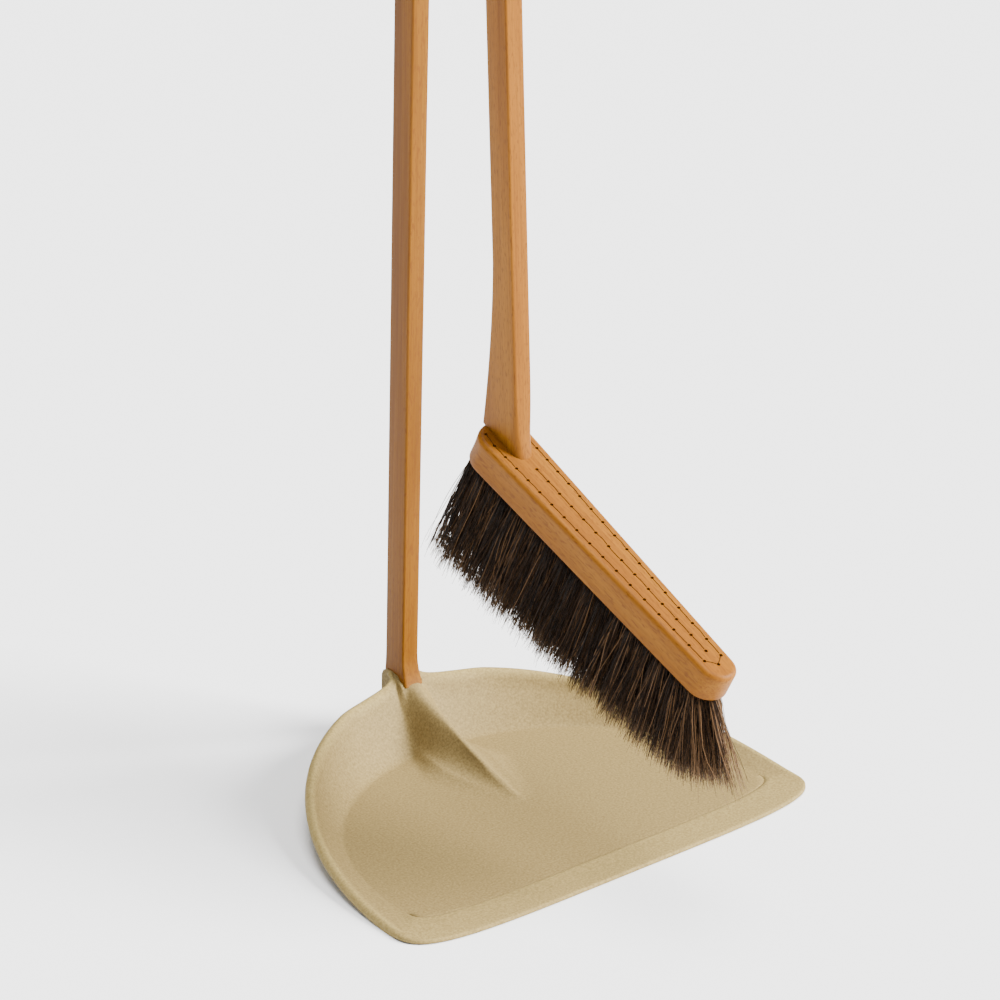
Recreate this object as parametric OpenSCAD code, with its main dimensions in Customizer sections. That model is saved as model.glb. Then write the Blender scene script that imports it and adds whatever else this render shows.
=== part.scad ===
// Long-handled dustpan with a hand-drawn hair brush that hangs from a pin at the top.
// +Z is up, the pan's open front faces -Y, and the set is symmetric about x = 0.

/* [Dustpan] */
// Width over the rolled side rims
pan_w = 270; // [220:1:320]
// Depth from the front edge to the back rim
pan_d = 200; // [170:1:240]
// Thickness of the pressed steel sheet
sheet_t = 1.2; // [0.8:0.1:1.8]
// Height of the back rim above the ground
rim_h = 36; // [26:1:44]
// Width of the front lip, from the edge to the crease
lip_w = 20; // [12:1:28]
// Height of the lip's crest above the pan floor
lip_h = 0.9; // [0.4:0.1:2]
// Width of the side wall beside the floor
side_w = 14; // [10:1:20]
// Width of the back wall behind the floor
back_w = 29; // [22:1:38]
// Length of the centre ridge, from the handle socket to its tip
ridge_l = 100; // [60:1:120]
// Half width of the ridge at its base
ridge_w = 11.5; // [9:0.5:16]
// Radius of the rolled rim
roll_r = 1.9; // [1.4:0.1:3]

/* [Pan handle] */
// Width of both wooden handles, side to side
stick_w = 10.8; // [9:0.1:14]
// Depth of both wooden handles, front to back
stick_d = 16.4; // [14:0.1:22]
// Height of the pan handle's top above the ground
stick_top = 860; // [700:5:1000]
// Lean of the pan handle towards the front, in degrees
stick_lean = 3; // [0:0.1:5]
// Edge chamfer of both handles
stick_chamfer = 0.8; // [0.3:0.1:1.5]
// Diameter of the cross hole for a wall hook
hook_bore = 7; // [4:0.5:9]

/* [Handle socket] */
// Play between the handle and each wall of its socket
socket_gap = 0.15; // [0.05:0.05:0.4]
// Thickness of the socket's end plate
socket_floor = 4; // [3:0.5:6]
// Height of the socket's side tabs above the ground
socket_h = 40; // [34:1:50]
// Diameter of the wood screws in the socket
screw_d = 3.4; // [2.5:0.1:4]
// Length of the end screw in the handle
foot_screw_l = 26; // [16:1:40]
// Length of the two screws through the back of the socket
back_screw_l = 8.8; // [6:0.2:9]

/* [Brush] */
// Length of the brush block
block_l = 201; // [160:1:240]
// Half width of the block at its handle end
heel_r = 15.5; // [13:0.5:20]
// Half width of the block at its tip
tip_r = 10; // [8:0.5:13]
// Thickness of the block
block_t = 17; // [14:0.5:22]
// Slope of the block down towards its tip, in degrees
block_pitch = 22.7; // [10:0.1:30]
// Height of the block's top above the ground at the last row of holes
block_z = 139.9; // [120:1:180]
// Length of the block beyond the last row of holes
tip_l = 14.2; // [13:0.1:18]
// Distance along the block from its handle end to the middle of the brush handle
foot_in = 21.4; // [16:0.2:40]
// Number of tufts along each outer row
outer_tufts = 18; // [10:1:24]
// Number of tufts along the middle row
middle_tufts = 14; // [9:1:16]
// How much closer together the tufts are at the handle end than at the tip
tuft_crowd = 0.134; // [0:0.002:0.3]
// Diameter of the tuft holes in the block
tuft_bore = 4.6; // [3:0.1:5]
// Depth of the tuft holes
tuft_depth = 11; // [8:0.5:12]
// Diameter of the wire holes in the top of the block
wire_bore = 1.9; // [1:0.1:2.2]
// Diameter of the drawing wire
wire_d = 0.5; // [0.3:0.1:0.8]
// Length of the hair below the block at the handle end
hair_heel = 66; // [40:1:80]
// Length of the hair below the block at the tip
hair_tip = 53; // [35:1:70]

/* [Brush handle] */
// Length of the brush handle above the pin
brush_over = 20; // [12:1:60]
// Lean of the brush handle towards the back, in degrees
brush_lean = 1.9; // [0:0.1:4]
// Depth of the flared foot where the handle meets the block
flare_d = 27.6; // [22:0.2:32]
// Height of the flare above the block
flare_h = 98; // [60:1:140]
// Diameter of the two glued dowels
dowel_d = 5; // [4:0.5:6]
// Depth of each dowel in the block and in the handle
dowel_depth = 10; // [6:0.5:12]

/* [Hanging pin] */
// Diameter of the steel pin
pin_d = 5; // [4:0.1:6]
// Radial play of the pin in both handles
pin_play = 0.05; // [0.02:0.01:0.1]
// Distance of the pin below the top of the pan handle
pin_drop = 38; // [30:1:80]
// Length of the wooden spacer between the handles
spacer_l = 25.6; // [16:0.2:60]
// Diameter of the wooden spacer
spacer_d = 10.4; // [8:0.2:14]
// Diameter of the wooden knob
knob_d = 15; // [10:0.5:20]
// Length of the wooden knob
knob_l = 13; // [8:0.5:18]

/* [Hidden] */
steel_paint = "#cdbd93";
beech = "#c98f55";
beech_dark = "#b57c44";
steel = "#b9b9b6";
hair = "#2b1c14";
wire = "#6b4023";

// ---- shared places, measured along y from the middle of the set ----
wood_gap = 0.2;
eps = 0.01;
socket_out_w = stick_w + 2 * (socket_gap + sheet_t);
socket_out_d = stick_d + 2 * (socket_gap + sheet_t);
foot_back = 2.8;
screw_head = 1.6;
screw_rows = [14, 27];
set_back = pan_d + foot_back + socket_out_d / 2 + screw_head;
// Places of the pin, the brush handle's foot and the block, measured back from the pan's front edge
spot_face = 1.4;
pin_z = stick_top - pin_drop;
pin_gap = spacer_l + stick_d - spot_face + 2 * wood_gap;
pin_from_front = pan_d + foot_back - pin_z * tan(stick_lean) - pin_gap * cos(brush_lean);
handle_back = (block_l - tip_l - foot_in) * cos(block_pitch);
handle_foot_z = block_z + handle_back * tan(block_pitch);
foot_from_front = pin_from_front - (pin_z - handle_foot_z) * tan(brush_lean);
block_from_front = foot_from_front - handle_back;
set_front = block_from_front - tip_l * cos(block_pitch);
front_y = -(set_back + set_front) / 2;
rim_back_y = front_y + pan_d;
foot_y = rim_back_y + foot_back;
// Middle of the handle at the height of the back rim
neck_y = foot_y - rim_h * tan(stick_lean);

// ---- pan outline: two super-ellipse halves that share their widest point ----
edge_bulge = 4.5;
back_bulge = 2.2;
wide_at = 32;
half_w = pan_w / 2 - roll_r;
front_b = wide_at - roll_r;
back_b = pan_d - wide_at - roll_r;
wide_y = front_y + wide_at;
floor_shift = 8;
floor_wide_y = wide_y + floor_shift;
floor_half_w = half_w - side_w;
floor_front_b = wide_at + floor_shift - lip_w;
floor_back_b = pan_d - wide_at - floor_shift - back_w - roll_r;
neck_x = socket_out_w / 2 + 0.5;
neck_front_y = neck_y - socket_out_d / 2 - 0.6;
neck_flare = 7;
valley_y = floor_wide_y + floor_back_b;
crest_z = rim_h - 2;
crest_y0 = neck_front_y - ridge_l;

// Smooth step from 0 to 1 as v goes from a to b
function ease(v, a, b) = let (t = min(1, max(0, (v - a) / (b - a)))) t * t * (3 - 2 * t);
function mix(a, b, t) = a + (b - a) * t;
function unit(v) = v / max(1e-9, norm(v));
// x on one super-ellipse quarter with half axes a and b, at distance y from its centre
function oval_x(a, b, n, y) = a * pow(max(0, 1 - pow(min(1, abs(y) / b), n)), 1 / n);

// A point on an oval ring with a straight-run part, a corner part and a back part (s from 0 to 3).
// corner is the share of the half width taken by the straight run.
corner = 0.87;
function ring(s, a, fb, bb, yc) =
    s <= 1 ? let (x = a * corner * s) [x, yc - fb * pow(1 - pow(x / a, edge_bulge), 1 / edge_bulge)] :
    s <= 2 ? let (y1 = fb * pow(1 - pow(corner, edge_bulge), 1 / edge_bulge),
                  y = y1 * (1 - pow(s - 1, 0.8)))
             [oval_x(a, fb, edge_bulge, y), yc - y] :
    let (q = 90 * (s - 2)) [a * cos(q), yc + bb * pow(sin(q), 2 / back_bulge)];

// The rim runs round the pan, then turns forward along the socket for s from 3 to 4.
rim_end = 0.955;
function rim_xy(s) =
    s <= 2 ? ring(s, half_w, front_b, back_b, wide_y) :
    s <= 3 ? let (p = ring(2 + (s - 2) * rim_end, half_w, front_b, back_b, wide_y),
                  in = max(0, p[0] - neck_x))
             [mix(p[0], neck_x, ease(s, 2.8, 3)), p[1] + neck_flare * exp(-in / 7) * ease(s, 2.6, 3)] :
    let (p = rim_xy(3)) [neck_x, mix(p[1], neck_front_y + 0.6, s - 3)];
function rim_z(s) =
    let (y = rim_xy(min(s, 3))[1], t = max(0, (y - front_y) / pan_d))
    sheet_t + (rim_h - sheet_t) * pow(min(1, t), 1.7);

// Edge of the flat floor, then the valley that climbs from it beside the ridge to the socket.
lobe_s = 2.86;
function valley(t) = [mix(ridge_w + 1, neck_x + 0.5, t), mix(valley_y - 1, neck_front_y, t)];
function floor_xy(s) =
    let (p = ring(min(s, 3), floor_half_w, floor_front_b, floor_back_b, floor_wide_y))
    s <= 2 ? p :
    let (k = ease(s, 2, lobe_s))
    s <= lobe_s ? [mix(p[0], ring(2 + (s - 2) * 1.04, floor_half_w, floor_front_b, floor_back_b,
                  floor_wide_y)[0] + ridge_w * 0.35, k), p[1]] :
    let (t = (s - lobe_s) / (4 - lobe_s), q = floor_xy(lobe_s), v = valley(t), m = ease(t, 0, 0.35))
    [mix(q[0], v[0], m), mix(q[1], v[1], m)];
function floor_z(s) = sheet_t + (s <= lobe_s ? 0 : (crest_z - 3) * pow((s - lobe_s) / (4 - lobe_s), 1.5));

// The centre line: pan floor, ridge crest and the low lip in front of the socket.
function line_y(s) =
    s <= 1 ? mix(front_y + lip_w + 5, front_y + lip_w + 12, s) :
    s <= 2 ? mix(front_y + lip_w + 12, front_y + 48, s - 1) :
    mix(front_y + 48, neck_front_y, pow((s - 2) / 2, 0.8));
function crest(y) = sheet_t + (crest_z - sheet_t) * pow(max(0, (y - crest_y0) / ridge_l), 1.2);
function base_w(y) = mix(3, ridge_w, ease(y, crest_y0 - 8, crest_y0 + 0.6 * ridge_l));
function base_xy(s) =
    let (y = line_y(s), t = max(0, (s - lobe_s) / (4 - lobe_s)), v = valley(t))
    [min(mix(base_w(y), v[0] - 0.8, ease(s, lobe_s - 0.3, lobe_s + 0.2)), floor_xy(s)[0] * 0.85),
     mix(y - 2 * (1 - ease(s, 0, 0.6)), v[1] - 0.8, ease(s, lobe_s - 0.3, lobe_s + 0.2))];

// Rows across the sheet, from the rolled edge (0) in to the centre line (row_n)
roll_n = 4;
wall_n = 4;
floor_n = 2;
flank_n = 5;
row_n = roll_n + wall_n + floor_n + flank_n;
roll_end = 105;
function rim_out(s) =
    let (d = rim_xy(min(4, s + 0.02)) - rim_xy(max(0, s - 0.02))) unit([d[1], -d[0]]);
function roll_w(s) = roll_r * mix(1, 0.35, ease(s, 2.75, 3));
function roll_drop(s) = roll_r * mix(0.1, 1, ease(s, 1.2, 2)) * mix(1, 0.3, ease(s, 2.75, 3));
function wall_rise(v, s) = s < 1.2 ? v : mix(v, 0.7 * v + 0.3 * v * v, ease(s, 1.2, 2));
// Height of the lip's crest, beside the crease, fading out round the corner
function lip_rise(v, s) = lip_h * (1 - ease(s, 1.4, 2.1)) * (v < eps ? 0 : 1 - 0.9 * v);
function sheet_point(s, r) =
    let (o = rim_xy(s), oz = rim_z(s), f = floor_xy(s), fz = floor_z(s), b = base_xy(s), y = line_y(s))
    r < roll_n ?
        let (q = roll_end * (1 - r / roll_n), n = rim_out(s))
        [o[0] + n[0] * roll_w(s) * sin(q), o[1] + n[1] * roll_w(s) * sin(q),
         oz - roll_drop(s) * (1 - cos(q))] :
    r <= roll_n + wall_n ?
        let (k = roll_n + wall_n - r, v = k <= 0 ? 0 : k == 1 ? 0.1 : mix(0.1, 1, (k - 1) / (wall_n - 1)))
        [mix(f[0], o[0], v), mix(f[1], o[1], v), mix(fz, oz, wall_rise(v, s)) + lip_rise(v, s)] :
    r <= roll_n + wall_n + floor_n ?
        let (v = (r - roll_n - wall_n) / floor_n)
        [mix(f[0], b[0], v), mix(f[1], b[1], v), fz] :
    let (u = 1 - (r - roll_n - wall_n - floor_n) / flank_n, c = crest(y),
         p = mix(1, 2.6, ease(y, crest_y0, neck_front_y)))
    [b[0] * u, mix(y, b[1], u * u), fz + (c - fz) * pow(1 - pow(u, p), 1.25)];

// Stations along the rim, closer together round the corner and the neck
side_n = 32;
function station(i) =
    let (t = i / side_n)
    t < 0.2 ? t / 0.2 : t < 0.4 ? 1 + (t - 0.2) / 0.2 :
    t < 0.85 ? 2 + (t - 0.4) / 0.45 : 3 + (t - 0.85) / 0.15;
half_grid = [for (i = [0:side_n]) [for (r = [0:row_n]) sheet_point(station(i), r)]];
function flip(p) = [-p[0], p[1], p[2]];
function at(j, r) = j >= 0 ? half_grid[j][r] : flip(half_grid[-j][r]);
function pan_normal(j, r) =
    let (along = at(min(side_n, j + 1), r) - at(max(-side_n, j - 1), r),
         across = r == row_n ? [2, 0, 0] * (j < 0 ? 1 : -1) : at(j, r + 1) - at(j, max(0, r - 1)),
         n = unit(cross(along, across)))
    n;
pan_cols = 2 * side_n + 1;
pan_top = concat([for (j = [-side_n:side_n]) for (r = [0:row_n - 1]) at(j, r)],
                 [for (i = [0:side_n]) at(i, row_n)]);
function low_at(j, r) = at(j, r) - sheet_t * pan_normal(j, r);
pan_low = concat([for (j = [-side_n:side_n]) for (r = [0:row_n - 1]) low_at(j, r)],
                 [for (i = [0:side_n]) low_at(i, row_n)]);
pan_count = len(pan_top);
function spot(j, r) = r == row_n ? pan_cols * row_n + abs(j) : (j + side_n) * row_n + r;
function quad(a, b, c, d) = [[a, b, c], [a, c, d]];
// The cells of the right half are cut along the mirrored diagonal
function cell(j, r) =
    j < 0 ? quad(spot(j, r), spot(j, r + 1), spot(j + 1, r + 1), spot(j + 1, r))
    : quad(spot(j + 1, r), spot(j, r), spot(j, r + 1), spot(j + 1, r + 1));
pan_skin = [for (j = [-side_n:side_n - 1]) for (r = [0:row_n - 1]) for (f = cell(j, r)) f];
pan_loop = concat([for (j = [-side_n:side_n - 1]) spot(j, 0)],
                  [for (r = [0:row_n - 1]) spot(side_n, r)],
                  [spot(side_n, row_n)],
                  [for (r = [row_n - 1:-1:1]) spot(-side_n, r)]);

// ---- handle and socket places ----
module placed_stick() {
    translate([0, foot_y, 0])
        rotate([stick_lean, 0, 0])
        children();
}
stick_len = stick_top / cos(stick_lean);
toe_h = 16;
toe_d = 3.4;

// ---- brush places ----
// The block's own frame: x across, y towards the handle, z up, origin above the last outer tufts
block_y = front_y + block_from_front;
heel_y = block_l - tip_l - heel_r;
tip_y = tip_r - tip_l;
function half_width(y) = mix(tip_r, heel_r, (y - tip_y) / (heel_y - tip_y));
heel_dot_y = heel_y + heel_r - 8.6;
function tuft_y(k) = let (t = k / (outer_tufts - 1)) heel_dot_y * t * (1 + tuft_crowd * (1 - t));
row_inset = tuft_bore / 2 + 1.6;
tip_dot_y = -4.5;
// The outer rows spread towards the heel and curve in round it
function outer_x(y) =
    y > heel_y ? sqrt(max(0, pow(heel_r - row_inset, 2) - pow(y - heel_y, 2)))
    : min(tip_r - 4.7 + 0.031 * y, heel_r - row_inset);
middle_y0 = 5.3;
outer_dots = [for (k = [0:outer_tufts - 1]) tuft_y(k)];
middle_dots = [for (k = [0:middle_tufts - 1]) middle_y0 + tuft_y(k)];
module placed_block() {
    translate([0, block_y, block_z])
        rotate([block_pitch, 0, 0])
        children();
}
handle_mid_y = block_y + handle_back;
// The brush handle's own frame: origin where its axis meets the block's top
module placed_brush_stick() {
    translate([0, handle_mid_y, handle_foot_z])
        rotate([-brush_lean, 0, 0])
        children();
}
brush_len = (pin_z + brush_over - handle_foot_z) / cos(brush_lean);
function brush_axis_y(z) = handle_mid_y + (z - handle_foot_z) * tan(brush_lean);

// ---- pin places: the pin's frame has z along the pin towards the front ----
pin_y = brush_axis_y(pin_z);
module placed_pin() {
    translate([0, pin_y, pin_z])
        rotate([90 - brush_lean, 0, 0])
        children();
}
spacer_back = -(pin_gap - stick_d / 2 + spot_face - wood_gap);
spacer_front = -(stick_d / 2 + wood_gap);
pin_tail = spacer_back - stick_d + 3;
pin_front = stick_d / 2 + wood_gap + knob_l - 3;
pin_bore = pin_d + 2 * pin_play;

dowel_spots = [-3.5, 13];
screw_spot = 6;
screw_in = 14;
screw_under = block_t - 4.5;

// A stick with chamfered edges and a rounded top, standing on z = 0
module stick(len) {
    c = stick_chamfer;
    w = stick_w / 2;
    d = stick_d / 2;
    linear_extrude(height = len - d)
        polygon([[-w + c, -d], [w - c, -d], [w, -d + c], [w, d - c], [w - c, d], [-w + c, d], [-w, d - c],
                 [-w, -d + c]]);
    translate([0, 0, len - d])
        rotate([0, 90, 0])
        cylinder(h = stick_w, r = d, center = true, $fn = 96);
}

module wood_screw(l, d, head) {
    cylinder(h = l, d = d, $fn = 32);
    cylinder(h = head / 2, d1 = head, d2 = d * 0.9, $fn = 32);
}

module pan_shell() {
    low_skin = [for (f = pan_skin) [f[0] + pan_count, f[2] + pan_count, f[1] + pan_count]];
    edge = [for (i = [0:len(pan_loop) - 1])
            let (a = pan_loop[i], b = pan_loop[(i + 1) % len(pan_loop)])
            for (f = quad(a, b, b + pan_count, a + pan_count)) f];
    color(steel_paint)
        polyhedron(points = concat(pan_top, pan_low), faces = concat(pan_skin, low_skin, edge), convexity = 6);
}

// Pressed and welded sleeve that takes the handle, with a tab up each side
module handle_socket() {
    w = socket_out_w;
    d = socket_out_d;
    inner_w = stick_w + 2 * socket_gap;
    inner_d = stick_d + 2 * socket_gap;
    side = [[-d / 2, 0], [d / 2, 0], [d / 2, socket_h - 5], [d / 2 - 1.5, socket_h - 1.8],
            [d / 2 - 4, socket_h - 0.3], [1, socket_h], [-d / 2 + 5, socket_h - 0.8],
            [-d / 2 + 2.5, socket_h - 3], [-d / 2 + 1, socket_h - 5], [-d / 2, socket_h - 5.5]];
    color(steel_paint)
        difference() {
            placed_stick()
                difference() {
                    translate([w / 2, 0, 0])
                        rotate([90, 0, -90])
                        linear_extrude(height = w)
                        polygon([for (p = side) [-p[0], p[1]]]);
                    translate([-inner_w / 2, -inner_d / 2, socket_floor])
                        cube([inner_w, inner_d, socket_h]);
                    translate([-inner_w / 2, -d / 2 - 1, socket_h - 5.5])
                        cube([inner_w, d, socket_h]);
                    translate([0, 0, -1])
                        cylinder(h = socket_floor + 2, d = screw_d + 0.6, $fn = 48);
                    translate([0, 0, -1])
                        cylinder(h = 3.6, d = screw_d * 2 + 0.8, $fn = 48);
                    for (z = screw_rows)
                        translate([0, d / 2 - sheet_t - 1, z])
                        rotate([-90, 0, 0])
                        cylinder(h = sheet_t + 2, d = screw_d + 0.6, $fn = 48);
                }
            translate([-w, foot_y - d, -10])
                cube([2 * w, 2 * d, 10]);
        }
}

module pan_handle() {
    top = stick_len - socket_floor - wood_gap;
    color(beech)
        difference() {
            placed_stick()
                translate([0, 0, socket_floor + wood_gap])
                difference() {
                    union() {
                        stick(top);
                        // short forward toe that laps over the socket's low front edge
                        translate([stick_w / 2, 0, socket_h - 5.2 - socket_floor])
                            rotate([90, 0, -90])
                            linear_extrude(height = stick_w)
                            polygon([[0, 0], [stick_d / 2 + toe_d, 0], [stick_d / 2 + toe_d, 1.2],
                                     [stick_d / 2 + toe_d * 0.4, toe_h * 0.45], [stick_d / 2, toe_h],
                                     [0, toe_h]]);
                    }
                    translate([0, 0, -1])
                        cylinder(h = foot_screw_l + 1, d = screw_d + 0.1, $fn = 48);
                    for (z = screw_rows)
                        translate([0, stick_d / 2 + 1, z - socket_floor - wood_gap])
                        rotate([90, 0, 0])
                        cylinder(h = back_screw_l - 1.6, d = screw_d + 0.1, $fn = 48);
                    translate([0, 0, top - stick_d / 2 - 1])
                        rotate([0, 90, 0])
                        cylinder(h = stick_w + 2, d = hook_bore, center = true, $fn = 64);
                }
            placed_pin()
                translate([0, 0, -pin_gap - stick_d])
                cylinder(h = stick_d * 2, d = pin_bore, $fn = 64);
            placed_pin()
                translate([0, 0, spacer_back - wood_gap])
                cylinder(h = stick_d, d = spacer_d + 2 * wood_gap, $fn = 64);
        }
}

module socket_screws() {
    color(steel)
        placed_stick()
        for (z = screw_rows)
        translate([0, socket_out_d / 2 + screw_head, z])
        rotate([90, 0, 0])
        wood_screw(back_screw_l, screw_d, screw_d * 1.9);
}

module foot_screw() {
    color(steel)
        placed_stick()
        translate([0, 0, 0.9])
        wood_screw(foot_screw_l, screw_d, screw_d * 1.9);
}

// Outline of the block: straight sides between two round ends
module block_outline() {
    slope = asin((heel_r - tip_r) / (heel_y - tip_y));
    arc_n = 40;
    heel_arc = [for (i = [0:arc_n]) let (q = mix(-slope, 180 + slope, i / arc_n))
                [heel_r * cos(q), heel_y + heel_r * sin(q)]];
    tip_arc = [for (i = [0:arc_n]) let (q = mix(180 + slope, 360 - slope, i / arc_n))
               [tip_r * cos(q), tip_y + tip_r * sin(q)]];
    polygon(concat(heel_arc, tip_arc));
}

// Tuft places of one row: -1 left, 0 middle, 1 right
module tuft_spots(side) {
    if (side == 0) {
        for (y = middle_dots)
            translate([0, y, 0])
            children();
        translate([0, tip_dot_y, 0])
            children();
    }
    else
        for (y = outer_dots)
            translate([side * outer_x(y), y, 0])
            children();
}

module brush_block() {
    color(beech)
        difference() {
            placed_block()
                difference() {
                    translate([0, 0, -block_t])
                        linear_extrude(height = block_t)
                        block_outline();
                    for (side = [-1, 0, 1])
                        tuft_spots(side) {
                            translate([0, 0, -block_t - 1])
                                cylinder(h = tuft_depth + 1, d = tuft_bore, $fn = 32);
                            translate([0, 0, -block_t])
                                cylinder(h = block_t + 1, d = wire_bore, $fn = 24);
                        }
                }
            placed_brush_stick()
                for (y = dowel_spots)
                translate([0, y, -dowel_depth - wood_gap])
                cylinder(h = dowel_depth + 20, d = dowel_d + 0.1, $fn = 48);
            placed_brush_stick()
                translate([0, screw_spot, -block_t - 20])
                cylinder(h = block_t + 40, d = screw_d + 0.1, $fn = 48);
            placed_brush_stick()
                translate([0, screw_spot, -block_t - 20])
                cylinder(h = 24, d = screw_d * 2 + 0.4, $fn = 48);
        }
}

// Handle with a foot that flares back along the block, cut to sit flat on it
module brush_handle() {
    w = stick_w / 2;
    d = stick_d / 2;
    bottom = -8;
    flare = [for (i = [0:8]) let (t = i / 8) [(flare_d - stick_d) * pow(1 - t, 1.6) + d, flare_h * t]];
    color(beech)
        difference() {
            placed_brush_stick()
                difference() {
                    union() {
                        translate([0, 0, bottom])
                            stick(brush_len - bottom);
                        translate([w - 0.01, 0, 0])
                            rotate([90, 0, -90])
                            linear_extrude(height = stick_w - 0.02)
                            polygon(concat([[0, bottom]], [[-(flare_d - stick_d + d), bottom]],
                                           [for (p = flare) [-p[0], p[1]]], [[0, flare_h]]));
                    }
                    for (y = dowel_spots)
                        translate([0, y, bottom - 1])
                        cylinder(h = dowel_depth - bottom + 1 + wood_gap, d = dowel_d + 0.1, $fn = 48);
                    translate([0, screw_spot, bottom - 1])
                        cylinder(h = screw_in - bottom + 1, d = screw_d + 0.1, $fn = 48);
                }
            placed_block()
                translate([-2 * w, 60, -60])
                cube([4 * w, 200, 60]);
            placed_pin()
                translate([0, 0, -stick_d])
                cylinder(h = 2 * stick_d, d = pin_bore, $fn = 64);
        }
}

module handle_dowels() {
    color(beech_dark)
        placed_brush_stick()
        for (y = dowel_spots)
        translate([0, y, -dowel_depth])
        cylinder(h = 2 * dowel_depth, d = dowel_d, $fn = 48);
}

// Countersunk screw from below the block into the handle's foot
module block_screw() {
    color(steel)
        placed_brush_stick()
        translate([0, screw_spot, -screw_under])
        wood_screw(screw_under + screw_in - 1, screw_d, screw_d * 1.9);
}

// One row of hair: a plug in each hole, and the mass of hair that hangs below the block.
// in_x and out_x give the row's edges at the block, and in_tip and out_tip at the hair's ends.
module hair_row(side, in_x, out_x, in_tip, out_tip) {
    y0 = tip_y - tip_r + 2.5;
    y1 = heel_y + heel_r - 3;
    top = -block_t - wood_gap;
    taper = tip_r / heel_r;
    pts = [[in_x * taper, y0, top], [out_x * taper, y0, top], [out_x, y1, top], [in_x, y1, top],
           [in_tip * taper, y0 - 17, top - hair_tip], [out_tip * taper, y0 - 17, top - hair_tip],
           [out_tip, y1 + 5, top - hair_heel], [in_tip, y1 + 5, top - hair_heel]];
    color(hair)
        placed_block() {
            tuft_spots(side)
                translate([0, 0, top + 0.05])
                cylinder(h = tuft_depth - 0.5, d = tuft_bore - 0.4, $fn = 24);
            hull()
                polyhedron(points = pts,
                           faces = [[0, 1, 2], [0, 2, 3], [4, 6, 5], [4, 7, 6], [0, 4, 5], [0, 5, 1],
                                    [1, 5, 6], [1, 6, 2], [2, 6, 7], [2, 7, 3], [3, 7, 4], [3, 4, 0]]);
        }
}

row_split = 3.4;
tip_split = 4.5;
row_gap = 0.3;
module tufts_left() {
    hair_row(-1, -heel_r + 1.5, -row_split - row_gap, -heel_r - 6, -tip_split - row_gap);
}
module tufts_middle() {
    hair_row(0, -row_split, row_split, -tip_split, tip_split);
}
module tufts_right() {
    hair_row(1, row_split + row_gap, heel_r - 1.5, tip_split + row_gap, heel_r + 6);
}

// Drawing wire of one row: one stitch along the block's top from each hole to the next
module drawing_wire(side, dots) {
    up = wire_d / 2 + 0.02;
    spots = [for (y = dots) [side * outer_x(y) * abs(side), y, up]];
    color(wire)
        placed_block() {
            for (i = [0:len(spots) - 2])
                let (a = spots[i], b = spots[i + 1], l = norm(b - a))
                translate(a)
                rotate([0, 0, atan2(b[1] - a[1], b[0] - a[0])])
                rotate([0, 90, 0])
                translate([0, 0, 0.15])
                cylinder(h = l - 0.3, d = wire_d, $fn = 16);
        }
}
module wire_left() {
    drawing_wire(-1, outer_dots);
}
module wire_middle() {
    drawing_wire(0, middle_dots);
}
module wire_right() {
    drawing_wire(1, outer_dots);
}

module hanging_pin() {
    color(steel)
        placed_pin()
        translate([0, 0, pin_tail])
        cylinder(h = pin_front - pin_tail, d = pin_d, $fn = 64);
}

// Turned spacer that keeps the brush clear of the pan handle
module pin_spacer() {
    color(beech_dark)
        placed_pin()
        translate([0, 0, spacer_back])
        difference() {
            cylinder(h = spacer_front - spacer_back, d = spacer_d, $fn = 64);
            translate([0, 0, -1])
                cylinder(h = spacer_front - spacer_back + 2, d = pin_d, $fn = 64);
        }
}

// Turned knob pressed on the pin's front end
module pin_knob() {
    r = knob_d / 2;
    color(beech_dark)
        placed_pin()
        translate([0, 0, stick_d / 2 + wood_gap])
        difference() {
            rotate_extrude($fn = 64)
                polygon([[0, 0], [r * 0.7, 0], [r * 0.86, knob_l * 0.2], [r, knob_l * 0.45],
                         [r, knob_l * 0.62], [r * 0.9, knob_l * 0.82], [r * 0.62, knob_l * 0.96], [0, knob_l]]);
            translate([0, 0, -1])
                cylinder(h = knob_l - 2, d = pin_d, $fn = 64);
        }
}

pan_shell();
handle_socket();
pan_handle();
socket_screws();
foot_screw();
brush_block();
brush_handle();
handle_dowels();
block_screw();
tufts_left();
tufts_middle();
tufts_right();
wire_left();
wire_middle();
wire_right();
hanging_pin();
pin_spacer();
pin_knob();
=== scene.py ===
"""Looks of the dustpan and brush set: pan sheet, wooden handles and block, drawn hair, light and camera."""

import math

import bpy
import numpy as np
from mathutils import Matrix, Vector


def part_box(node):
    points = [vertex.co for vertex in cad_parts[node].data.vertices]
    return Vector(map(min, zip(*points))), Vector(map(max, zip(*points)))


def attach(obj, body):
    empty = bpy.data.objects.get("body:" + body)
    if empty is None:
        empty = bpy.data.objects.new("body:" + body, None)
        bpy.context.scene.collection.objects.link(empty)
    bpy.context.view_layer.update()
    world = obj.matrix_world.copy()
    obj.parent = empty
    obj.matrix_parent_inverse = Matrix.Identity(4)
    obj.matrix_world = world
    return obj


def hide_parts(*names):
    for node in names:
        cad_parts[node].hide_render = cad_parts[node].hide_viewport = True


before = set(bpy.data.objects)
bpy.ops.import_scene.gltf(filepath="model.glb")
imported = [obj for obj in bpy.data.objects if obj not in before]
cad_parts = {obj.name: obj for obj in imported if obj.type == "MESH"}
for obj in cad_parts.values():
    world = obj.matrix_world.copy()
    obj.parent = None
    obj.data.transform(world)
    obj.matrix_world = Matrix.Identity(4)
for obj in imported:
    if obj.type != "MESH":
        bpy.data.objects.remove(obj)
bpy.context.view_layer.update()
MM = 0.001
rng = np.random.default_rng(20)

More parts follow.
